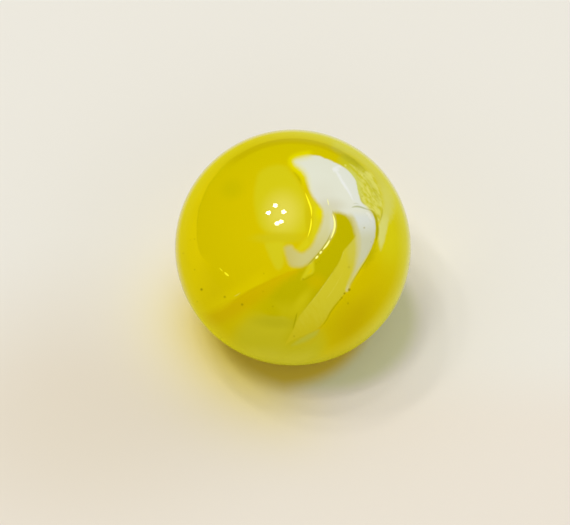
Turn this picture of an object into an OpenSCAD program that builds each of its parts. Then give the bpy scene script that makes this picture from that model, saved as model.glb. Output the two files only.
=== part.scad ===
// Glass marble: one solid ball of yellow glass with a white swirl folded into it.
// The folding left shallow lines in its skin, along the edges of the swirl and its tails.
// Origin at the centre of the ball, +Z up.

/* [Ball] */
// Diameter of the ball
ball_d = 16; // [12:0.5:25]
// Lean of the swirled face from straight up, towards the front
face_lean = 30; // [0:5:60]

/* [Fold lines] */
// Depth of a fold line at its middle
fold_depth = 0.05; // [0.02:0.01:0.08]
// Width of a fold line at its middle
fold_w = 0.35; // [0.2:0.05:0.6]

/* [Hidden] */

ball_r = ball_d / 2;

// A fold line starts, passes its middle and ends at three spots on the ball. Each spot is
// [from_middle, round] in degrees: how far it lies from the middle of the face, and on which
// side of that middle, from the right, anticlockwise.
inner_fold = [[29, 80], [18, 60], [8, 33]];
hook_fold = [[27, 43], [20, 14], [12, -26]];
edge_fold = [[50, 27], [43, 1], [34, -34]];
tail_fold = [[36, -37], [38, -55], [44, -71]];
band_fold = [[54, -140], [30, -134], [12, -100]];
FOLDS = [inner_fold, hook_fold, edge_fold, tail_fold, band_fold];

// Round tool whose section is fold_w wide where it is fold_depth deep
tool_r = fold_w * fold_w / (8 * fold_depth) + fold_depth / 2;
// Distance from the ball's centre to the tool's middle where it only touches the ball
touch_reach = ball_r + tool_r;

function over_spot(spot, reach) =
    reach * [sin(spot[0]) * cos(spot[1]), sin(spot[0]) * sin(spot[1]), cos(spot[0])];

// Ring of the tool that touches the ball at the line's start and end and sinks to fold_depth
// at its middle
module fold_line(start, middle, end) {
    a = over_spot(start, touch_reach);
    b = over_spot(middle, touch_reach - fold_depth);
    c = over_spot(end, touch_reach);
    ab = b - a;
    ac = c - a;
    axis = cross(ab, ac);
    to_centre = ((ac * ac) * cross(axis, ab) + (ab * ab) * cross(ac, axis)) / (2 * (axis * axis));
    ring_r = norm(to_centre);
    translate(a + to_centre)
        rotate([0, acos(axis.z / norm(axis)), atan2(axis.y, axis.x)])
            rotate_extrude($fn = 360)
                translate([ring_r, 0])
                    circle(r = tool_r, $fn = 96);
}

module marble() {
    color([0.83, 0.75, 0.03])
        difference() {
            sphere(r = ball_r, $fn = 180);
            rotate([face_lean, 0, 0])
                for (f = FOLDS)
                    fold_line(f[0], f[1], f[2]);
        }
}

marble();
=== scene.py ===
"""Glass marble: the looks of one ball of yellow glass with a white swirl folded into it."""
import math

import bmesh
import bpy
import numpy as np
from mathutils import Matrix, Vector


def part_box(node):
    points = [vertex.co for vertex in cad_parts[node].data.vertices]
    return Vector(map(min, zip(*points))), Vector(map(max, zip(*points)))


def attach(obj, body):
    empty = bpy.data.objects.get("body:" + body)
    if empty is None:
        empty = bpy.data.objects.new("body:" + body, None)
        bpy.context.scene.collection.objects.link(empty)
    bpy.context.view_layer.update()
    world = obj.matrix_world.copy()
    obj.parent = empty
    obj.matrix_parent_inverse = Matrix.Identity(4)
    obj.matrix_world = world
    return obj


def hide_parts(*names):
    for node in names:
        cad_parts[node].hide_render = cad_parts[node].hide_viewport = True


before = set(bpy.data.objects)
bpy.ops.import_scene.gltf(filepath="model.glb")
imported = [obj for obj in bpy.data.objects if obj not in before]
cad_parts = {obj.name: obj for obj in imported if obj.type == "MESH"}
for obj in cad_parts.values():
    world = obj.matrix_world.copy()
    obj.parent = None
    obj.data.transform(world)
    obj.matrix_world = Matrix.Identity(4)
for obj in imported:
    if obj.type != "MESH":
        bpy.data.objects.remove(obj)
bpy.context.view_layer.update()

MM = 0.001
low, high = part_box("marble")
RADIUS = (high[2] - low[2]) / 2
RADIUS_MM = RADIUS / MM

# The swirled face leans from straight up towards the front. Everything drawn on the ball is placed on
# this face in millimetres, across and up from its middle, as it shows when it is looked at square on.
FACE_LEAN = math.radians(30)
FACE_TO_BALL = Matrix.Rotation(FACE_LEAN, 3, "X")

# ---------------------------------------------------------------- shapes drawn on the face

# Where the deep yellow glass ends and a painted reflection of the pale table begins, down the left side
PAINTED_REFLECTION_EDGE = [
    (-2.9, 6.75), (-3.6, 6.35), (-4.1, 5.95), (-4.75, 5.38), (-5.2, 4.78), (-5.6, 4.27), (-5.85, 3.77),
    (-6.1, 3.1), (-6.29, 2.6), (-6.41, 1.75), (-6.42, 0.93), (-6.34, 0.09), (-6.08, -0.55), (-5.62, -1.08),
]
DEEP_YELLOW = [*PAINTED_REFLECTION_EDGE, (-4.9, -1.6), (0.0, -4.0), (9.0, -4.0), (9.0, 9.0), (-1.5, 9.0), (-2.0, 7.3)]

# Opaque white glass: a broad head, a hook that curls back from its left foot, and a long right tail
WHITE_SWIRL = [
    (0.0, 5.7), (0.15, 5.92), (0.8, 6.11), (1.5, 6.15), (2.19, 5.94), (2.75, 5.69), (3.35, 5.38),
    (3.85, 4.95), (4.2, 4.4), (4.35, 3.7), (4.6, 3.0), (5.05, 2.6), (5.4, 2.1), (5.54, 1.4), (5.44, 0.5),
    (5.06, -0.42), (4.42, -1.5), (3.87, -2.35), (3.6, -2.88), (3.74, -2.35), (3.97, -1.75), (4.14, -1.1),
    (4.23, -0.2), (4.2, 0.6), (4.07, 1.2), (3.88, 1.75), (3.57, 2.15), (3.1, 2.33), (2.75, 2.35),
    (2.65, 2.2), (2.75, 1.7), (2.72, 1.2), (2.5, 0.6), (2.1, 0.05), (1.6, -0.5), (1.05, -1.05),
    (0.6, -1.28), (0.2, -1.31), (-0.15, -1.24), (-0.35, -0.95), (-0.5, -0.45), (-0.55, 0.0), (-0.15, 0.1),
    (0.15, -0.2), (0.5, -0.38), (0.85, -0.28), (1.25, 0.1), (1.55, 0.7), (1.85, 1.4), (2.0, 2.0), (1.95, 2.5),
    (1.65, 2.95), (1.33, 3.37), (1.1, 3.82), (0.95, 4.32), (0.8, 4.77), (0.52, 5.12), (0.18, 5.42),
]
# Dark olive glass between the hook and the streak, down to the streak's point
DARK_POOL = [
    (2.7, 2.5), (3.1, 2.6), (3.9, 2.4), (4.6, 1.6), (4.5, 0.5), (3.9, -0.3), (3.1, -1.7), (2.0, -3.3),
    (0.9, -4.4), (0.0, -5.0), (-0.8, -4.3), (-1.3, -3.3), (-0.6, -2.5), (0.1, -2.0), (0.5, -1.5),
    (1.2, -1.0), (1.7, -0.4), (2.2, 0.1), (2.55, 0.7), (2.75, 1.5),
]
# Pale yellow glass that streams down from under the white tail
PALE_STREAK = [
    (4.5, 1.0), (3.95, 0.46), (3.67, 0.13), (3.35, -0.25), (3.12, -0.85), (2.75, -1.5), (2.25, -2.2),
    (1.8, -2.85), (1.38, -3.36), (1.12, -3.72), (0.7, -4.2), (0.3, -4.75), (0.05, -5.4), (-0.25, -5.95),
    (-0.56, -6.6), (-0.1, -6.28), (0.6, -5.97), (1.2, -5.68), (1.68, -5.42), (2.0, -5.1), (2.26, -4.74),
    (2.48, -4.3), (2.81, -3.84), (3.2, -3.38), (3.6, -2.85), (4.3, -1.5),
]
# Cloudy dome of glass left of the white head
MILKY_VEIL = [
    (-2.5, 4.4), (-2.3, 5.0), (-1.6, 5.45), (-0.6, 5.5), (0.0, 4.9), (0.5, 4.2), (0.85, 3.4), (1.05, 2.6),
    (1.1, 1.8), (1.0, 1.1), (0.5, 0.8), (-0.5, 0.85), (-1.6, 0.95), (-2.2, 1.3), (-2.5, 2.1), (-2.65, 3.3),
]
# Pale lobe under the veil, beside the end of the hook
PALE_LOBE = [
    (-1.88, 0.25), (-1.68, -0.4), (-1.42, -1.0), (-1.1, -1.5), (-0.78, -1.43), (-0.6, -1.0), (-0.58, 0.0),
    (-0.65, 0.35), (-1.3, 0.35),
]
# Warm yellow glass between the veil and the hook
WARM_RIM = [
    (0.9, 3.6), (1.3, 3.3), (1.75, 2.8), (2.0, 2.3), (1.95, 1.7), (1.75, 1.0), (1.45, 0.4), (1.0, -0.1),
    (0.5, -0.35), (0.15, -0.1), (0.5, 0.3), (1.0, 0.9), (1.2, 1.5), (1.25, 2.1), (1.15, 2.8),
]
# Ochre band, and all that lies under it: its upper edge is a crisp fold
OCHRE_BAND = [
    (-11.0, -7.0), (-8.5, -5.5), (-6.2, -4.6), (-5.0, -4.12), (-4.0, -3.54), (-3.0, -2.9),
    (-2.0, -2.4), (-1.0, -1.9), (-0.3, -1.62), (0.4, -1.46), (1.2, -1.1), (2.0, -2.0), (2.0, -5.0),
    (0.0, -9.0), (-4.0, -11.0), (-9.0, -11.0),
]
# Grey-green round the bottom of the face: clearer glass, with the table's shade under it painted in
MOSS_FOOT = [
    (-4.0, -6.0), (-3.5, -5.2), (-3.0, -4.75), (-2.3, -4.55), (-1.3, -4.65), (-0.4, -4.7), (0.0, -5.5),
    (-0.3, -6.3), (1.0, -6.0), (1.8, -5.6), (2.1, -6.4), (1.95, -7.6), (0.9, -8.7), (-1.1, -9.2),
    (-3.3, -8.7), (-4.7, -7.4),
]
# Streaky green glass between the white head and the rim, drawn out to a point
GREEN_WEDGE = [
    (2.9, 6.0), (3.5, 6.25), (4.2, 5.95), (5.0, 5.3), (5.5, 4.6), (5.85, 3.8), (6.0, 3.0), (5.9, 2.2),
    (5.68, 1.55), (5.45, 2.0), (5.0, 2.5), (4.5, 2.8), (4.2, 3.6), (4.0, 4.4), (3.5, 5.2), (3.0, 5.6),
]
# Smooth pale olive glass right of the wedge
PALE_SHOULDER = [
    (2.8, 6.7), (3.8, 6.3), (4.7, 5.65), (5.4, 4.8), (5.8, 4.0), (6.0, 3.0), (5.9, 1.9), (6.4, 1.8),
    (6.7, 2.4), (6.85, 3.2), (6.8, 4.2), (6.2, 5.3), (5.0, 6.4), (3.8, 7.1), (2.9, 7.2),
]
# Pale almond right of the tail
PALE_ALMOND = [
    (5.95, 2.2), (5.76, 1.6), (5.7, 0.9), (5.73, 0.2), (5.86, -0.3), (6.04, 0.15), (6.22, 0.8), (6.34, 1.4),
    (6.42, 2.0), (6.2, 2.3),
]

# Small pale facet under the hook
FACET = [(1.4, -1.0), (1.1, -1.08), (0.8, -1.5), (0.5, -2.18), (0.95, -1.95), (1.37, -1.68)]

# Lines are points, half width at the middle, and strength.
# Dark olive folds
DARK_LINES = [
    # painted reflection: a dark line along the edge of the table's reflection
    (PAINTED_REFLECTION_EDGE, 0.13, 0.24),
    ([(4.95, 2.62), (5.35, 2.38), (5.56, 2.0), (5.64, 1.5), (5.62, 0.7), (5.45, 0.0)], 0.14, 0.9),
    ([(5.65, 1.7), (5.67, 1.1), (5.6, 0.4)], 0.17, 0.9),
    ([(5.62, 0.9), (5.5, 0.1), (5.25, -0.5), (4.95, -1.05), (4.55, -1.65)], 0.42, 0.45),
    ([(5.5, 0.5), (5.12, -0.5), (4.52, -1.45), (3.77, -2.62)], 0.1, 0.6),
    ([(5.97, 2.75), (5.95, 2.2), (5.75, 1.55)], 0.09, 0.6),
    ([(4.5, 5.2), (5.0, 4.5), (5.35, 3.95), (5.66, 3.3), (5.8, 2.8)], 0.19, 0.33),
    ([(3.2, 6.3), (4.1, 5.8), (4.9, 5.15)], 0.25, 0.3),
    ([(4.48, 3.65), (4.58, 3.1), (4.92, 2.78)], 0.15, 0.42),
    ([(4.72, 4.86), (4.8, 4.74)], 0.09, 0.5),
    ([(3.6, -2.95), (3.2, -3.45), (2.83, -3.9), (2.5, -4.36), (2.28, -4.8), (2.02, -5.18), (1.7, -5.52)],
     0.1, 0.6),
    ([(0.28, -4.3), (0.15, -4.85), (-0.05, -5.6)], 0.08, 0.95),
    ([(-0.05, 5.1), (0.35, 4.65), (0.6, 4.1)], 0.18, 0.42),
    ([(3.15, -0.55), (2.7, -1.5), (2.2, -2.22), (1.33, -3.4), (0.7, -4.22), (0.3, -4.85)], 0.08, 0.34),
    ([(1.05, -1.1), (0.75, -1.5), (0.5, -1.95)], 0.08, 0.3),
    ([(2.62, 1.3), (2.3, 0.45), (1.8, -0.3), (1.25, -0.9), (0.85, -1.3)], 0.09, 0.85),
    ([(1.5, -1.74), (1.0, -2.04), (0.55, -2.27)], 0.09, 0.6),
    ([(2.62, 2.5), (2.69, 2.2)], 0.05, 0.6),
]
# Grey-blue creases where the white doubles over itself
GREY_LINES = [
    ([(3.85, 2.66), (4.4, 2.72), (5.2, 2.46)], 0.1, 1.0),
    ([(3.95, 2.88), (4.2, 2.93), (4.45, 2.85)], 0.06, 0.5),
]
# Pale threads drawn out along the green glass, the tail and the streak
PALE_LINES = [
    ([(5.38, 0.25), (5.0, -0.5), (4.52, -1.25), (4.0, -2.03), (3.55, -2.88)], 0.09, 0.62),
    ([(3.42, 5.56), (3.6, 5.42)], 0.13, 0.75),
    ([(3.7, 5.65), (4.05, 5.4), (4.3, 5.05)], 0.12, 0.45),
    ([(4.58, 4.9), (4.66, 4.75)], 0.09, 0.6),
    ([(4.92, 4.2), (5.02, 3.85), (5.3, 3.4)], 0.17, 0.75),
    ([(5.45, 4.3), (5.7, 3.85), (5.8, 3.45)], 0.13, 0.5),
    ([(4.6, 4.3), (4.72, 3.95), (4.78, 3.6)], 0.13, 0.35),
    ([(5.3, 3.1), (5.5, 2.6), (5.7, 2.1)], 0.12, 0.45),
    ([(3.02, -1.05), (2.32, -2.15), (1.45, -3.35), (0.85, -4.05)], 0.06, 0.3),
    ([(3.35, -1.6), (2.75, -2.7), (2.1, -3.6)], 0.08, 0.22),
    ([(3.42, -0.2), (3.28, -0.55), (3.15, -0.95)], 0.05, 0.35),
    ([(4.8, 5.12), (5.08, 4.9), (5.38, 4.58)], 0.15, 1.0),
    # painted highlight: a short glint near the ochre band's edge
    ([(-4.0, -3.3), (-3.75, -3.2), (-3.5, -3.0)], 0.07, 0.4),
]
# Grey-green shade along the streak's lower edge
SHADE_LINES = [
    ([(1.82, -5.44), (1.46, -5.74), (1.0, -6.02), (0.48, -6.3), (-0.2, -6.65)], 0.36, 0.95),
]
# Yellow threads: a small one on the facet, and a long one on the ochre band's edge that is a painted glint
# along that fold
YELLOW_LINES = [
    ([(1.3, -1.4), (1.14, -1.62), (0.9, -1.85)], 0.12, 0.7),
    ([(-5.3, -4.15), (-4.6, -3.8), (-4.0, -3.4), (-3.3, -3.0)], 0.1, 0.6),
]
# Painted highlights: bright yellow glints inside the hook and on the left
YELLOW_GLINTS = [
    ([(0.78, 3.7), (1.02, 3.1), (1.2, 2.55), (1.24, 2.0)], 0.085, 0.9),
    ([(1.21, 2.0), (1.2, 1.6), (1.12, 1.15), (0.95, 0.6)], 0.07, 0.9),
    ([(-4.95, -1.35), (-4.82, -1.5), (-4.68, -1.65)], 0.07, 0.5),
    ([(-4.62, -1.65), (-4.45, -1.8), (-4.27, -1.95)], 0.09, 1.0),
]
# Painted highlights: near-white glints, most of them along the hook's outer edge
WHITE_GLINTS = [
    ([(2.62, 2.25), (2.72, 1.95), (2.78, 1.6), (2.75, 1.2), (2.6, 0.75), (2.5, 0.55)], 0.085, 1.0),
    ([(2.48, 0.52), (2.25, 0.15), (1.95, -0.2)], 0.085, 0.9),
    ([(1.92, -0.24), (1.76, -0.45)], 0.1, 0.8),
    ([(1.68, -0.56), (1.48, -0.78)], 0.1, 0.8),
    ([(2.28, 3.25), (2.38, 2.75)], 0.06, 0.5),
]
# The whitest strokes in the head
SNOW_LINES = [
    ([(2.7, 5.25), (2.95, 5.0), (3.3, 4.35), (3.75, 3.65), (4.05, 3.0)], 0.17, 0.9),
    ([(2.6, 5.3), (3.1, 5.1)], 0.32, 0.9),
    ([(2.65, 5.25), (3.1, 5.42), (3.65, 5.38)], 0.15, 0.8),
    ([(4.8, 2.35), (5.1, 2.15), (5.3, 1.75)], 0.2, 0.6),
]
# Specks of dirt and pinholes: middle, radius, strength
SPECKS = [
    ((-6.14, -2.83), 0.15, 0.9), ((-4.57, -3.32), 0.14, 0.7), ((-3.4, -3.83), 0.14, 0.8),
    ((3.75, -2.84), 0.15, 1.0), ((3.43, -3.08), 0.11, 0.9), ((3.25, -3.38), 0.12, 0.7),
    ((3.15, -3.5), 0.1, 0.6), ((3.67, -3.75), 0.12, 0.6), ((0.66, -2.12), 0.12, 0.6),
    ((0.07, -5.95), 0.12, 0.5), ((-6.6, 0.55), 0.1, 0.4), ((-6.9, 0.5), 0.1, 0.3),
    ((-1.95, -1.75), 0.11, 0.4), ((-2.0, -2.95), 0.1, 0.4), ((-1.35, -3.95), 0.11, 0.5),
    ((-6.45, -3.65), 0.12, 0.4), ((-7.4, -0.4), 0.13, 0.35), ((-6.6, -1.5), 0.12, 0.4),
    ((1.55, -1.1), 0.1, 0.4), ((1.75, -1.0), 0.08, 0.4), ((4.75, 1.3), 0.11, 0.6),
    ((5.2, 0.35), 0.09, 0.4), ((4.62, 3.4), 0.1, 0.5), ((3.72, -1.33), 0.16, 0.4),
]
# Shallow furrows in the skin: points, half width, depth
FURROWS = [
    ([(0.6, 4.2), (0.9, 3.45), (1.15, 2.7), (1.24, 1.9), (1.18, 1.2), (0.9, 0.5)], 0.18, 0.025),
    ([(2.65, 2.3), (2.8, 1.6), (2.65, 0.85), (2.25, 0.15), (1.5, -0.7), (0.7, -1.4)], 0.18, 0.03),
    ([(3.6, 2.7), (4.6, 2.68), (5.35, 2.32), (5.65, 1.3), (5.4, 0.0), (4.53, -1.45), (3.6, -2.95)],
     0.18, 0.04),
    ([(3.65, -2.85), (2.84, -3.9), (2.3, -4.76), (1.75, -5.42)], 0.16, 0.015),
    ([(-5.2, -1.2), (-4.7, -1.65), (-4.1, -2.1)], 0.15, 0.02),
    ([(-5.8, -4.45), (-4.6, -3.9), (-3.4, -3.25), (-1.8, -2.45), (-0.4, -1.75)], 0.17, 0.02),
]


def smooth_curve(points, closed, steps=6):
    """A smooth curve through the points, as an array of short straight runs."""
    p = np.array(points, float)
    if closed:
        p = np.vstack([p[-1], p, p[0], p[1]])
    else:
        p = np.vstack([2 * p[0] - p[1], p, 2 * p[-1] - p[-2]])
    t = np.linspace(0, 1, steps, endpoint=False)[:, None]
    runs = []
    for a, b, c, d in zip(p, p[1:], p[2:], p[3:]):
        runs.append(0.5 * (2 * b + (c - a) * t + (2 * a - 5 * b + 4 * c - d) * t**2
                           + (3 * b - a - 3 * c + d) * t**3))
    if not closed:
        runs.append(p[-2:-1])
    return np.vstack(runs)


REACH = 2.0  # nothing looks further from a line or an outline than this


def distance_to(curve, spots, closed):
    """How far each spot lies from the curve, and how far along the curve its nearest point is, 0 to 1."""
    ends = np.roll(curve, -1, axis=0) if closed else curve[1:]
    starts = curve if closed else curve[:-1]
    close = np.all((spots > curve.min(0) - REACH) & (spots < curve.max(0) + REACH), axis=1)
    near_spots = spots[close]
    nearest = np.full(len(near_spots), REACH)
    where = np.zeros(len(near_spots))
    for i, (a, b) in enumerate(zip(starts, ends)):
        run = b - a
        along = np.clip((near_spots - a) @ run / (run @ run), 0, 1)
        away = np.hypot(*(near_spots - a - along[:, None] * run).T)
        nearer = away < nearest
        nearest[nearer] = away[nearer]
        where[nearer] = (i + along[nearer]) / len(starts)
    distance = np.full(len(spots), REACH)
    place = np.zeros(len(spots))
    distance[close], place[close] = nearest, where
    return distance, place


def depth_inside(outline, spots):
    """How far each spot lies inside the closed outline, negative outside it."""
    curve = smooth_curve(outline, closed=True)
    x, y = spots.T
    inside = np.zeros(len(spots), bool)
    for (x0, y0), (x1, y1) in zip(curve, np.roll(curve, -1, axis=0)):
        if y0 != y1:
            inside ^= ((y0 > y) != (y1 > y)) & (x < (x1 - x0) * (y - y0) / (y1 - y0) + x0)
    return np.where(inside, 1, -1) * distance_to(curve, spots, closed=True)[0]


def taper(place):
    """1 along a line's middle, falling to 0 at its two ends."""
    return np.sqrt(np.clip(4 * place * (1 - place), 0, 1))


def line_strength(lines, spots):
    """A line's strength on its middle, 0 at its edge and below 0 beyond."""
    best = np.full(len(spots), -REACH)
    for points, half_width, strength in lines:
        away, place = distance_to(smooth_curve(points, closed=False), spots, closed=False)
        best = np.maximum(best, strength * (taper(place) - away / half_width))
    return best


def speck_strength(specks, spots):
    """A speck's strength in its middle, 0 at its edge and below 0 beyond."""
    best = np.full(len(spots), -REACH)
    for middle, radius, strength in specks:
        away = np.hypot(*(spots - np.array(middle)).T)
        best = np.maximum(best, strength * (1 - away / radius))
    return best


# ---------------------------------------------------------------- the ball

def on_face(places):
    """Where places on the ball lie on the face, in millimetres. Past the rim they go on outwards."""
    spots = np.array(places) @ np.array(FACE_TO_BALL)
    spots *= RADIUS_MM / np.linalg.norm(spots, axis=1)[:, None]
    flat, out = spots[:, :2], spots[:, 2]
    behind = out < 0
    from_middle = np.maximum(np.hypot(*flat[behind].T), 1e-6)
    flat[behind] *= ((2 * RADIUS_MM - from_middle) / from_middle)[:, None]
    return flat


def split_near(bm, reach, nearness):
    """Halve the edges that lie within reach of something drawn on the face."""
    bm.verts.ensure_lookup_table()
    away = nearness(on_face([v.co for v in bm.verts]))
    edges = [e for e in bm.edges if min(away[v.index] for v in e.verts) < reach]
    bmesh.ops.subdivide_edges(bm, edges=edges, cuts=1, use_grid_fill=True)
    bmesh.ops.triangulate(bm, faces=[f for f in bm.faces if len(f.verts) > 3])
    bm.verts.index_update()
    for v in bm.verts:
        v.co = v.co.normalized() * RADIUS


def nearest_line(spots):
    lines = DARK_LINES + GREY_LINES + PALE_LINES + YELLOW_LINES + YELLOW_GLINTS + WHITE_GLINTS + FURROWS
    away = [distance_to(smooth_curve(points, closed=False), spots, closed=False)[0] for points, _, _ in lines]
    away += [np.hypot(*(spots - np.array(middle)).T) for middle, _, _ in SPECKS]
    return np.min(away, axis=0)


def nearest_outline(spots):
    outlines = (WHITE_SWIRL, PALE_STREAK, GREEN_WEDGE, PALE_ALMOND, FACET)
    away = [np.abs(depth_inside(outline, spots)) for outline in outlines]
    return np.minimum(np.min(away, axis=0), nearest_line(spots))


FIRST_SPLIT = 0.3  # how near an outline or a line the mesh is halved
SECOND_SPLIT = 0.2  # how near a line it is halved again


def make_ball():
    bm = bmesh.new()
    bmesh.ops.create_icosphere(bm, subdivisions=7, radius=RADIUS)
    split_near(bm, FIRST_SPLIT, nearest_outline)
    split_near(bm, SECOND_SPLIT, nearest_line)
    press_furrows(bm)
    mesh = bpy.data.meshes.new("marble_glass")
    bm.to_mesh(mesh)
    bm.free()
    mesh.shade_smooth()
    ball = bpy.data.objects.new("marble_glass", mesh)
    bpy.context.scene.collection.objects.link(ball)
    return ball


def press_furrows(bm):
    """Each furrow is rounded across and runs out to nothing at both ends."""
    spots = on_face([v.co for v in bm.verts])
    depth = np.zeros(len(spots))
    for points, half_width, deepest in FURROWS:
        away, place = distance_to(smooth_curve(points, closed=False), spots, closed=False)
        depth = np.maximum(depth, deepest * taper(place) * np.clip(1 - (away / half_width) ** 2, 0, 1))
    for v, sunk in zip(bm.verts, depth):
        v.co *= 1 - sunk / RADIUS_MM


def draw_on(mesh, name, values):
    layer = mesh.attributes.new(name, "FLOAT", "POINT")
    layer.data.foreach_set("value", np.clip(values, -REACH, REACH).astype(np.float32))


def draw_face(ball):
    spots = on_face([v.co for v in ball.data.vertices])
    outlines = {
        "deep": DEEP_YELLOW, "white": WHITE_SWIRL, "pool": DARK_POOL, "streak": PALE_STREAK,
        "veil": MILKY_VEIL, "lobe": PALE_LOBE, "warm": WARM_RIM, "ochre": OCHRE_BAND, "moss": MOSS_FOOT,
        "wedge": GREEN_WEDGE, "shoulder": PALE_SHOULDER, "almond": PALE_ALMOND, "facet": FACET,
    }
    for name, outline in outlines.items():
        draw_on(ball.data, name, depth_inside(outline, spots))
    lines = {
        "dark_line": DARK_LINES, "grey_line": GREY_LINES, "pale_line": PALE_LINES,
        "shade_line": SHADE_LINES, "yellow_line": YELLOW_LINES, "snow": SNOW_LINES,
        "yellow_glint": YELLOW_GLINTS, "white_glint": WHITE_GLINTS,
    }
    for name, drawn in lines.items():
        draw_on(ball.data, name, line_strength(drawn, spots))
    draw_on(ball.data, "speck", speck_strength(SPECKS, spots))


# ---------------------------------------------------------------- materials

class Wire:
    """A socket that can be used in arithmetic: each sign adds its Math node."""

    def __init__(self, bench, socket):
        self.bench = bench
        self.socket = socket

    def maths(self, operation, *inputs):
        return self.bench.node("ShaderNodeMath", {"operation": operation}, *inputs)

    def __add__(self, other):
        return self.maths("ADD", self, other)

    def __radd__(self, other):
        return self.maths("ADD", other, self)

    def __sub__(self, other):
        return self.maths("SUBTRACT", self, other)

    def __rsub__(self, other):
        return self.maths("SUBTRACT", other, self)

    def __mul__(self, other):
        return self.maths("MULTIPLY", self, other)

    def __rmul__(self, other):
        return self.maths("MULTIPLY", other, self)

    def __truediv__(self, other):
        return self.maths("DIVIDE", self, other)

    def __rtruediv__(self, other):
        return self.maths("DIVIDE", other, self)


class Bench:
    """Where a material's or the room's nodes are laid out and wired up."""

    def __init__(self, name="", tree=None, shader="Principled BSDF"):
        if tree is None:
            self.material = bpy.data.materials.new(name)
            self.material.use_nodes = True
            tree = self.material.node_tree
        self.nodes = tree.nodes
        self.links = tree.links
        self.shader = self.nodes[shader]

    def node(self, kind, settings, *inputs, out=0, **named):
        made = self.nodes.new(kind)
        for key, value in settings.items():
            setattr(made, key, value)
        for key, value in [*enumerate(inputs), *named.items()]:
            self.wire(made.inputs[key], value)
        return Wire(self, made.outputs[out])

    def wire(self, socket, value):
        if isinstance(value, Wire):
            self.links.new(value.socket, socket)
        else:
            socket.default_value = value

    def set(self, **values):
        for key, value in values.items():
            self.wire(self.shader.inputs[key.replace("_", " ")], value)

    def drawn(self, name):
        """How far inside an outline, or how strong on a line, as draw_face left it on the mesh."""
        return self.node("ShaderNodeAttribute", {"attribute_name": name}, out="Fac")

    def within(self, value, start, end):
        """0 where the value is at start, 1 where it is at end, and smooth between."""
        return self.node("ShaderNodeMapRange", {"interpolation_type": "SMOOTHSTEP"}, value, start, end)

    def blend(self, share, under, over):
        """The colour under, covered by the colour over by this share."""
        made = self.nodes.new("ShaderNodeMix")
        made.data_type = "RGBA"
        self.wire(made.inputs[0], share)
        self.wire(made.inputs[6], (*under, 1) if isinstance(under, tuple) else under)
        self.wire(made.inputs[7], (*over, 1) if isinstance(over, tuple) else over)
        return Wire(self, made.outputs[2])

    def oval(self, place, middle, size, turn=0.0, edge=0.5):
        """A soft oval: 1 in its middle, 0 past its edge."""
        spot = self.node("ShaderNodeMapping", {"vector_type": "TEXTURE"}, place, Location=middle,
                         Rotation=(0, 0, math.radians(turn)), Scale=(*size, 2 * max(size)))
        far = self.node("ShaderNodeVectorMath", {"operation": "LENGTH"}, spot, out="Value")
        return self.within(far, 1 + edge, 1 - edge)

    def patch(self, face, spot, size, turn=0.0, edge=0.5):
        """A soft oval on the ball's face."""
        out = math.sqrt(RADIUS_MM**2 - spot[0] ** 2 - spot[1] ** 2)
        return self.oval(face, (*spot, out), size, turn, edge)

    def noise(self, place, stretch, turn=0.0, detail=2.0):
        """A grain from about -0.5 to 0.5, stretched along one way."""
        grain = self.node("ShaderNodeMapping", {}, place, Rotation=(0, 0, math.radians(turn)))
        grain = self.node("ShaderNodeMapping", {}, grain, Scale=stretch)
        return self.node("ShaderNodeTexNoise", {}, Vector=grain, Scale=1.0, Detail=detail) - 0.5


YELLOW = (0.61, 0.492, 0.0)
YELLOW_TOP = (0.595, 0.495, 0.0)
YELLOW_PAINTED_REFLECTION = (0.70, 0.566, 0.0)
YELLOW_RIGHT_PAINTED_LIGHT = (0.64, 0.575, 0.006)
PAINTED_SHEEN_LEFT = (0.71, 0.578, 0.02)
PAINTED_SHEEN_RIGHT = (0.67, 0.635, 0.105)
PAINTED_SHEEN_TOP = (0.71, 0.605, 0.016)
BRIGHT_YELLOW = (0.655, 0.535, 0.0)
OLIVE_SPOT = (0.54, 0.455, 0.0)
CLOUDY = (0.60, 0.535, 0.008)
PAINTED_LAMP_GLOW = (0.68, 0.615, 0.075)
UNDER_VEIL = (0.56, 0.495, 0.01)
LOBE = (0.595, 0.535, 0.012)
WARM = (0.625, 0.555, 0.008)
AMBER = (0.555, 0.475, 0.004)
FRINGE = (0.70, 0.63, 0.0)
OCHRE = (0.575, 0.42, 0.0)
OCHRE_DEEP = (0.545, 0.425, 0.0)
OCHRE_DARK = (0.46, 0.38, 0.0)
OLIVE = (0.495, 0.43, 0.0)
OLIVE_LEFT = (0.588, 0.478, 0.0)
POOL = (0.465, 0.405, 0.0)
POOL_FOOT = (0.52, 0.456, 0.004)
POOL_LIGHT = (0.565, 0.50, 0.006)
MOSS_AND_SHADE = (0.53, 0.478, 0.013)
MOSS_RIM = (0.555, 0.505, 0.03)
MOSS_EDGE = (0.46, 0.417, 0.009)
LOWER_RIGHT = (0.60, 0.477, 0.0)
UNDER_STREAK = (0.56, 0.45, 0.0)
ORANGE = (0.53, 0.40, 0.0)
STREAK = (0.565, 0.485, 0.012)
STREAK_MILK = (0.585, 0.52, 0.026)
FACET_GLASS = (0.59, 0.53, 0.01)
STREAK_TOP = (0.56, 0.51, 0.07)
STREAK_FOOT = (0.485, 0.475, 0.04)
GREEN_DARK = (0.53, 0.505, 0.03)
GREEN_PALE = (0.655, 0.64, 0.135)
GREEN_TOP = (0.52, 0.495, 0.018)
GREEN_BY_WHITE = (0.57, 0.585, 0.12)
SHOULDER = (0.625, 0.605, 0.125)
SHOULDER_TOP = (0.575, 0.545, 0.095)
SHOULDER_DARK = (0.51, 0.48, 0.02)
ALMOND = (0.65, 0.64, 0.18)
WHITE = (0.69, 0.71, 0.645)
WHITE_GREY = (0.605, 0.60, 0.50)
WHITE_CREAM = (0.70, 0.69, 0.39)
WHITE_BLUE = (0.69, 0.72, 0.70)
SNOW = (0.765, 0.79, 0.825)
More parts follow.
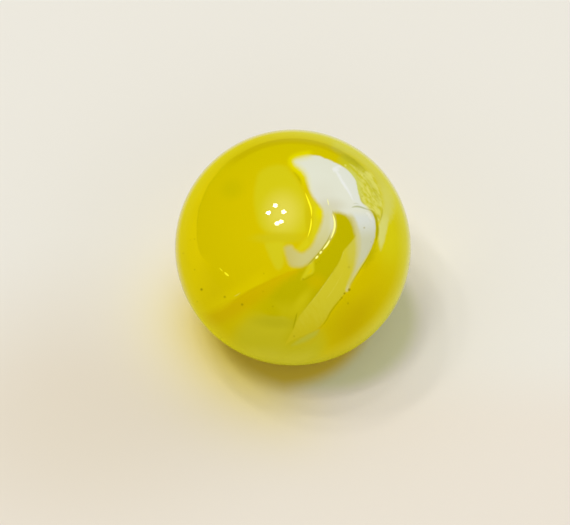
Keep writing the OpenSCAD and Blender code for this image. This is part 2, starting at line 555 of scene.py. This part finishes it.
HOOK_TOP = (0.60, 0.59, 0.36)
HOOK_FOOT = (0.56, 0.525, 0.215)
HOOK_TIP = (0.54, 0.48, 0.16)
TAIL_WHITE = (0.635, 0.67, 0.67)
TAIL_DUSTY = (0.55, 0.56, 0.42)
TAIL_FOOT = (0.555, 0.54, 0.25)
TAIL_TIP = (0.575, 0.53, 0.13)
TAIL_BEIGE = (0.57, 0.54, 0.28)
FOLD_DARK = (0.36, 0.325, 0.0)
FOLD_GREY = (0.42, 0.45, 0.28)
THREAD_PALE = (0.71, 0.685, 0.16)
GLINT_YELLOW = (0.98, 0.90, 0.02)
GLINT_WHITE = (1.0, 0.98, 0.33)
SPECK = (0.28, 0.22, 0.0)

GLEAM = (0.72, 0.72, 0.015)
GLEAM_CLOSE = (0.74, 0.73, 0.55)

CARD = (0.756, 0.743, 0.71)
CARD_WARM_PAINTED_SHADE = (0.70, 0.645, 0.56)
CARD_FRONT_PAINTED_SHADE = (0.75, 0.705, 0.65)
CARD_LIT = (1.0, 0.975, 0.88)
CARD_GLOW = (0.80, 0.66, 0.05)
CARD_SHADE = (0.60, 0.62, 0.44)
CARD_PAINTED_CONTACT_SHADOW = (0.578, 0.452, 0.05)


def swirl_glass():
    """Yellow glass with its folded colours, each laid over the last."""
    bench = Bench("swirl_glass")
    place = bench.node("ShaderNodeTexCoord", {}, out="Object")
    face = bench.node("ShaderNodeMapping", {}, place, Rotation=(-FACE_LEAN, 0, 0), Scale=(1 / MM,) * 3)
    across, up, out = (bench.node("ShaderNodeSeparateXYZ", {}, face, out=i) for i in (0, 1, 2))
    cloud = bench.noise(face, (0.3, 0.3, 0.3), detail=3.0)
    flow = bench.noise(face, (0.55, 2.0, 0.55), turn=-32, detail=3.0)
    ragged = bench.noise(face, (3.5, 3.5, 3.5), detail=2.0)

    def inside(name, start, end, roughly=0.1):
        return bench.within(bench.drawn(name) + roughly * ragged, start, end)

    def tint(colour, spot, size, turn, edge, strength, tone):
        return bench.blend(bench.patch(face, spot, size, turn, edge) * strength, colour, tone)

    def lines(colour, name, strength, tone, end=0.8, rough=0.0):
        drawn = bench.drawn(name) + rough * ragged
        return bench.blend(bench.within(drawn, 0.0, end) * strength, colour, tone)

    # clear yellow; towards the left rim a painted reflection of the pale table, and on the right more lemon
    # glass that is also painted lighter
    colour = bench.blend(bench.within(up, 3.0, 6.5), YELLOW, YELLOW_TOP)
    upper = bench.within(up, -1.5, 0.0)
    # painted reflection of the pale table, paler towards the left rim
    painted_reflection = upper * bench.within(bench.drawn("deep"), 0.06, -0.12) * bench.within(across, -3.5, -6.4)
    painted_reflection = painted_reflection + (1 - upper) * bench.within(across, -5.0, -7.0)
    colour = bench.blend(painted_reflection, colour, YELLOW_PAINTED_REFLECTION)
    # painted light: lighter on the right as if lit through the glass, and more lemon
    colour = bench.blend(bench.within(across, 4.5, 6.5) * bench.within(up, -3.0, 0.5), colour, YELLOW_RIGHT_PAINTED_LIGHT)
    colour = bench.blend(bench.within(cloud, 0.0, 0.3) * 0.35, colour, OLIVE_LEFT)
    colour = tint(colour, (-4.1, 3.9), (0.7, 0.6), 0, 0.8, 0.8, OLIVE_SPOT)
    colour = tint(colour, (4.3, -3.6), (2.6, 1.6), 60, 0.6, 1.0, LOWER_RIGHT)
    colour = tint(colour, (2.9, -4.9), (1.6, 0.7), 52, 0.8, 0.9, UNDER_STREAK)
    colour = tint(colour, (4.05, -5.0), (1.85, 0.8), 54, 0.9, 1.0, ORANGE)

    # the milky dome with a painted glow round the lamps' highlights on it, its shaded foot and the pale lobe
    # under it
    colour = bench.blend(inside("veil", -0.2, 0.3), colour, CLOUDY)
    # painted highlight: a soft cream glow round the five lamps' spots
    colour = tint(colour, (-0.7, 2.3), (1.0, 1.15), 0, 0.8, 1.0, PAINTED_LAMP_GLOW)
    colour = tint(colour, (-0.9, 0.6), (1.6, 0.35), 0, 0.6, 0.8, UNDER_VEIL)
    colour = bench.blend(inside("lobe", -0.15, 0.2), colour, LOBE)
    colour = bench.blend(inside("warm", -0.1, 0.25), colour, WARM)
    colour = tint(colour, (1.0, 1.7), (0.2, 1.1), 5, 0.6, 0.8, AMBER)
    colour = tint(colour, (1.75, 2.3), (0.25, 0.4), 0, 0.8, 0.8, FRINGE)

    # the ochre band: bright above its fold, ochre under it, then olive
    depth = bench.drawn("ochre") + 0.15 * flow
    colour = bench.blend(bench.within(depth, -1.1, -0.2) * bench.within(across, -1.0, -2.5), colour,
                         BRIGHT_YELLOW)
    left = bench.within(across, -1.0, -4.0)
    deep = bench.blend(bench.within(flow, 0.0, 0.3) * 0.5, OLIVE, OCHRE_DEEP)
    deep = bench.blend(left, deep, OLIVE_LEFT)
    band = bench.blend(bench.within(across, -3.2, -0.6) * bench.within(depth, 0.1, 0.6), OCHRE, OCHRE_DEEP)
    band = bench.blend(bench.within(depth, 0.55, 1.4), band, deep)
    left_soft = 0.3 * bench.within(across, -3.8, -4.6)
    colour = bench.blend(bench.within(depth, -0.08 - left_soft, 0.12 + left_soft), colour, band)
    colour = tint(colour, (0.1, -3.0), (0.8, 0.45), 20, 0.8, 0.8, OCHRE_DARK)
    pool = bench.blend(bench.within(up, -3.2, -4.3), POOL, POOL_FOOT)
    colour = bench.blend(inside("pool", -0.45, 0.3, 0.4), colour, pool)
    colour = tint(colour, (1.55, -2.3), (0.6, 0.45), -20, 0.8, 0.8, OCHRE_DEEP)
    colour = tint(colour, (0.6, -3.55), (0.8, 0.3), 52, 0.9, 0.8, POOL_LIGHT)

    # the grey-green foot, clearer glass with painted shade of the table seen through it, more uneven near the
    # rim
    foot = bench.drawn("moss") + (0.3 + bench.within(up, -6.2, -7.8)) * flow
    crisp = bench.within(up, -5.1, -4.8) * bench.within(across, -2.3, -1.6)
    soft = 1 - crisp
    front = bench.within(out, -2.6, 0.0)
    mossy = bench.within(foot, -0.1 - 0.5 * soft, 0.15 + 0.6 * soft) * front
    colour = bench.blend(mossy, colour, MOSS_AND_SHADE)
    colour = tint(colour, (-1.2, -5.0), (1.3, 0.38), -3, 0.7, 0.85, MOSS_EDGE)
    mossy_rim = bench.within(up, -6.3, -7.4) * bench.within(foot, 0.0, 1.5) * front
    colour = bench.blend(mossy_rim, colour, MOSS_RIM)

    # behind the rim the colours fade into plain yellow
    plain = bench.blend(bench.within(cloud, 0.0, 0.3) * 0.35, YELLOW, OLIVE_LEFT)
    colour = bench.blend(bench.within(out, -0.5, -5.5), colour, plain)

    # green and pale glass on the right
    shoulder = bench.blend(bench.within(up, 3.6, 4.8), SHOULDER, SHOULDER_TOP)
    colour = bench.blend(inside("shoulder", -0.35, 0.3, 0.3), colour, shoulder)
    colour = tint(colour, (3.6, 6.1), (1.5, 0.28), -38, 0.7, 0.45, SHOULDER_DARK)
    threads = bench.noise(face, (4.0, 0.9, 1.0), turn=-40, detail=3.0) + 0.4 * ragged
    wedge = bench.blend(bench.within(threads, -0.15, 0.12), GREEN_DARK, GREEN_PALE)
    wedge = bench.blend(bench.within(up, 4.8, 5.7), wedge, GREEN_TOP)
    white_edge = bench.drawn("white") + 0.1 * ragged
    by_white = bench.within(white_edge, -0.4, -0.05) * bench.within(up, 3.2, 3.7)
    wedge = bench.blend(by_white * bench.within(up, 5.4, 4.9), wedge, GREEN_BY_WHITE)
    colour = bench.blend(inside("wedge", -0.12, 0.15, 0.3) * bench.within(across, 2.6, 3.6), colour, wedge)
    almond = inside("almond", -0.08, 0.12) * bench.within(up, 2.5, 1.6) * bench.within(up, -0.7, 0.4)
    colour = bench.blend(almond, colour, ALMOND)

    # the streak: milky just inside its left side, grey-green where it ends
    streak = bench.drawn("streak") + 0.06 * ragged
    milk = bench.within(up, -6.3, -3.0) + 1.6 * bench.noise(face, (3.5, 0.8, 1.0), turn=-32)
    body = bench.blend(bench.within(milk, 0.0, 1.0), STREAK, STREAK_MILK)
    body = tint(body, (4.0, -0.2), (0.35, 1.1), 0, 0.7, 0.8, STREAK_TOP)
    colour = lines(colour, "shade_line", 1.0, STREAK_FOOT, end=0.9, rough=0.3)
    colour = bench.blend(bench.within(streak, -0.05, 0.08), colour, body)
    colour = bench.blend(inside("facet", -0.1, 0.15), colour, FACET_GLASS)

    # the white: thick in the head, thin in the hook, dusty towards the tail's tip
    hook = bench.within(across, 3.2, 2.2) * bench.within(up, 3.2, 2.0)
    tail = bench.within(across, 3.4, 3.9) * bench.within(up, 2.5, 1.9)
    tail_left = bench.within(across - 0.24 * up, 4.9, 4.4) * bench.within(across, 2.5, 2.9)
    tail_left = tail_left * bench.within(up, 3.0, 2.5)
    white_glass = tint(WHITE, (1.9, 3.5), (0.9, 0.8), 0, 0.9, 0.35, WHITE_GREY)
    white_glass = tint(white_glass, (2.5, 2.75), (0.9, 0.45), 0, 0.8, 1.0, WHITE_GREY)
    thin_edge = bench.within(white_edge, 0.45, 0.0) * bench.within(across, 1.6, 0.8)
    white_glass = bench.blend(thin_edge, white_glass, WHITE_CREAM)
    hook_glass = bench.blend(bench.within(up, 2.0, -0.6), HOOK_TOP, HOOK_FOOT)
    hook_glass = bench.blend(bench.within(across, 0.8, -0.5), hook_glass, HOOK_TIP)
    right = bench.within(0.866 * across + 0.5 * up, 4.95, 5.15) * bench.within(up, 2.4, 2.8)
    white_glass = bench.blend(right * 0.8, white_glass, WHITE_BLUE)
    white_glass = bench.blend(hook, white_glass, hook_glass)
    tail_glass = bench.blend(bench.within(up, 1.9, 0.4), TAIL_WHITE, TAIL_DUSTY)
    tail_glass = bench.blend(bench.within(up, -0.7, -2.0), tail_glass, TAIL_FOOT)
    tail_glass = bench.blend(bench.within(white_edge, 0.45, 0.15) * tail_left, tail_glass, TAIL_BEIGE)
    tail_glass = bench.blend(bench.within(up, -1.7, -2.5), tail_glass, TAIL_TIP)
    white_glass = bench.blend(tail, white_glass, tail_glass)
    white_glass = bench.blend(bench.within(bench.drawn("snow") + 0.5 * ragged, 0.0, 0.9), white_glass, SNOW)
    head_left = bench.within(across + 0.5 * up, 4.6, 4.0) * bench.within(up, 2.3, 2.8)
    softness = 0.06 + 0.12 * hook + 0.13 * tail_left + 0.1 * head_left
    fringe = bench.within(white_edge, -0.5, -0.15) * bench.within(across - 0.5 * up, -0.9, -2.0)
    fringe = fringe * bench.within(across, 1.5, 0.9) * bench.within(up, 3.0, 3.6)
    colour = bench.blend(fringe, colour, FRINGE)
    colour = bench.blend(bench.within(white_edge, 0 - softness, softness), colour, white_glass)

    # painted sheen: paler where the glass is seen edge on, less so at the foot
    grazing = bench.node("ShaderNodeLayerWeight", {}, Blend=0.5, out="Facing")
    rim = bench.blend(bench.within(across, -4.0, 3.0), PAINTED_SHEEN_LEFT, PAINTED_SHEEN_RIGHT)
    rim = bench.blend(bench.patch(face, (-5.2, 4.9), (1.5, 3.5), -43, 0.6), rim, PAINTED_SHEEN_TOP)
    above_foot = bench.within(up, -7.3, -5.0)
    colour = bench.blend(bench.within(grazing, 0.5, 0.9) * (0.25 + 0.75 * above_foot), colour, rim)

    # folds, threads, specks and the painted glints lie over everything
    colour = lines(colour, "dark_line", 0.9, FOLD_DARK, rough=0.3)
    colour = lines(colour, "grey_line", 0.9, FOLD_GREY)
    colour = lines(colour, "pale_line", 0.9, THREAD_PALE, rough=0.3)
    colour = lines(colour, "yellow_line", 0.8, BRIGHT_YELLOW)
    colour = lines(colour, "speck", 1.0, SPECK, end=0.9)
    colour = lines(colour, "yellow_glint", 1.0, GLINT_YELLOW, end=0.6)
    colour = lines(colour, "white_glint", 1.0, GLINT_WHITE, end=0.6)

    bench.set(Base_Color=colour, Roughness=0.3, Specular_IOR_Level=0.0, Coat_Weight=1.0,
              Coat_Roughness=0.03, Coat_IOR=1.5)
    return bench.material


def pale_table():
    """Pale card, painted darker and warmer towards the front and left as shade, with painted light and shade
    that the glass throws on it and a painted contact shadow under the ball.
    """
    bench = Bench("pale_table")
    place = bench.node("ShaderNodeTexCoord", {}, out="Object")
    table = bench.node("ShaderNodeMapping", {}, place, Scale=(1 / MM,) * 3)
    centre = (0, 0, RADIUS_MM)
    away = bench.node("ShaderNodeVectorMath", {"operation": "DISTANCE"}, table, centre, out="Value")
    near = RADIUS_MM / away
    near = near * near * near
    across, back = (bench.node("ShaderNodeSeparateXYZ", {}, table, out=i) for i in (0, 1))
    # painted shade: darker and warmer towards the front, and in a patch at the front left
    colour = bench.blend(bench.within(back, -3.0, -10.0), CARD, CARD_FRONT_PAINTED_SHADE)
    colour = bench.blend(bench.oval(table, (-15, -8.5, 0), (10, 8), 12, 0.9), colour, CARD_WARM_PAINTED_SHADE)
    # painted light: lighter beside the ball
    lift = bench.within(near, 0.06, 0.33) * bench.within(back - 0.6 * across, -7.0, -1.0)
    colour = bench.blend(0.5 * lift * bench.within(back, -12.0, 2.0), colour, CARD_LIT)
    # painted yellow light that the glass throws on its lit side
    lit = bench.within(-0.88 * across - 0.48 * back, 0.0, 6.5) * bench.within(back, 7.5, -2.5)
    colour = bench.blend(bench.within(near, 0.1, 0.64) * lit, colour, CARD_GLOW)
    # painted shade of the ball
    colour = bench.blend(bench.oval(table, (2.2, -1.0, 0), (6.3, 5.6), 0, 0.12), colour, CARD_SHADE)
    # painted contact shadow, dark amber, close under the ball
    aside = bench.node("ShaderNodeMath", {"operation": "ABSOLUTE"}, across + 0.6)
    colour = bench.blend(bench.within(near - 0.015 * aside, 0.4, 0.54), colour, CARD_PAINTED_CONTACT_SHADOW)
    bench.set(Base_Color=colour, Roughness=0.9, Specular_IOR_Level=0.1)
    return bench.material


def gleam():
    """The table as the ball's gloss shows it, in colours that nothing else sees."""
    bench = Bench("table_gleam")
    place = bench.node("ShaderNodeTexCoord", {}, out="Object")
    table = bench.node("ShaderNodeMapping", {}, place, Scale=(1 / MM,) * 3)
    back = bench.node("ShaderNodeSeparateXYZ", {}, table, out=1)
    close = bench.oval(table, (0, 7.4, 0), (13.2, 16.2), 0, 0.25) * bench.within(back, -4.0, 2.5)
    bench.set(Base_Color=bench.blend(close, GLEAM, GLEAM_CLOSE), Roughness=1.0, Specular_IOR_Level=0.0)
    return bench.material


# ---------------------------------------------------------------- stage

def make_disc(name, radius, height, surface):
    bm = bmesh.new()
    bmesh.ops.create_circle(bm, cap_ends=True, radius=radius, segments=96)
    mesh = bpy.data.meshes.new(name)
    bm.to_mesh(mesh)
    bm.free()
    mesh.materials.append(surface)
    disc = bpy.data.objects.new(name, mesh)
    disc.location.z = height
    bpy.context.scene.collection.objects.link(disc)
    return disc


TABLE_RADIUS = 3.0
MIRRORED_TABLE_RADIUS = 0.062
MIRRORED_TABLE_RISE = 0.1 * MM


def make_floor():
    """A pale table, and a smaller copy of it that only the ball's gloss sees."""
    table = make_disc("table", TABLE_RADIUS, low[2], pale_table())
    table.visible_glossy = False
    mirrored_height = low[2] + MIRRORED_TABLE_RISE
    mirrored_table = make_disc("table_gleam", MIRRORED_TABLE_RADIUS, mirrored_height, gleam())
    mirrored_table.visible_camera = False
    mirrored_table.visible_diffuse = False
    mirrored_table.visible_shadow = False


def mirrored(across, up):
    """The way in which the ball, seen square on to its face, mirrors the room at that spot on the face."""
    x, y = across / RADIUS_MM, up / RADIUS_MM
    slope = Vector((x, y, math.sqrt(1 - x * x - y * y)))
    return FACE_TO_BALL @ (2 * slope.z * slope - Vector((0, 0, 1)))


LAMP_SPOTS = [(-1.18, 2.8), (-1.65, 2.3), (-0.61, 2.37), (-1.08, 1.6), (-0.79, 1.72)]
LAMP_SIZE = 0.07
LAMP_POWER = 0.55
LAMP_COLOUR = (1.0, 0.97, 0.92)


def make_lamps():
    """Five small lamps, each where the ball mirrors it at its own spot on the face."""
    for i, spot in enumerate(LAMP_SPOTS):
        way = mirrored(*spot)
        light = bpy.data.lights.new(f"lamp_{i}", "AREA")
        light.shape = "DISK"
        light.size = LAMP_SIZE
        light.energy = LAMP_POWER
        light.color = LAMP_COLOUR
        lamp = bpy.data.objects.new(f"lamp_{i}", light)
        lamp.location = way
        lamp.rotation_euler = way.to_track_quat("Z", "Y").to_euler()
        bpy.context.scene.collection.objects.link(lamp)


ROOM = (1.0, 0.985, 0.93)
GLOSS_ROOM = (0.78, 0.80, 0.0)
GLOSS_SKIRTING = (0.1, 0.1, 0.0)


def make_room():
    """Soft light from all round, a little more of it from the front right.

    Gloss sees another room: a yellow one, with a dark line along the foot of its back wall."""
    world = bpy.data.worlds.new("room")
    world.use_nodes = True
    bench = Bench(tree=world.node_tree, shader="Background")
    way = bench.node("ShaderNodeTexCoord", {}, out="Generated")

    def facing(direction):
        return bench.node("ShaderNodeVectorMath", {"operation": "DOT_PRODUCT"}, way, direction, out="Value")

    light = 0.825 + 0.22 * facing(Vector((0.75, -0.6, 0.25)))
    height = bench.node("ShaderNodeSeparateXYZ", {}, way, out=2)
    skirting = bench.within(facing((0.6, 0.8, 0)), 0.27, 0.5) * bench.within(height, 0.0, -0.06)
    skirting = skirting * bench.within(facing((-0.5, 0.866, 0)), 0.3, 0.5)
    seen = bench.node("ShaderNodeLightPath", {}, out="Is Glossy Ray")
    gloss = bench.blend(skirting, GLOSS_ROOM, GLOSS_SKIRTING)
    bench.set(Color=bench.blend(seen, ROOM, gloss), Strength=seen + (1 - seen) * light)
    bpy.context.scene.world = world


FRAME_SHARE = 0.414
AIM = (-0.54, -1.02)  # what the camera looks at, in millimetres on the face
CAMERA_DISTANCE = 0.4
SENSOR = 36


def make_camera():
    """Looks down square on to the swirled face. The ball takes FRAME_SHARE of the frame's width."""
    camera = bpy.data.cameras.new("camera")
    camera.sensor_width = SENSOR
    camera.lens = SENSOR * FRAME_SHARE / 2 * math.sqrt(CAMERA_DISTANCE**2 - RADIUS**2) / RADIUS
    camera.clip_start = 0.01
    across, up, out = FACE_TO_BALL.col
    eye = bpy.data.objects.new("camera", camera)
    eye.location = (AIM[0] * across + AIM[1] * up) * MM + CAMERA_DISTANCE * out
    eye.rotation_euler = out.to_track_quat("Z", "Y").to_euler()
    bpy.context.scene.collection.objects.link(eye)
    bpy.context.scene.camera = eye


make_camera()
make_lamps()
make_room()
make_floor()

ball = make_ball()
draw_face(ball)
ball.data.materials.append(swirl_glass())
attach(ball, "root")
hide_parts("marble")

view = bpy.context.scene.view_settings
view.view_transform = "Standard"
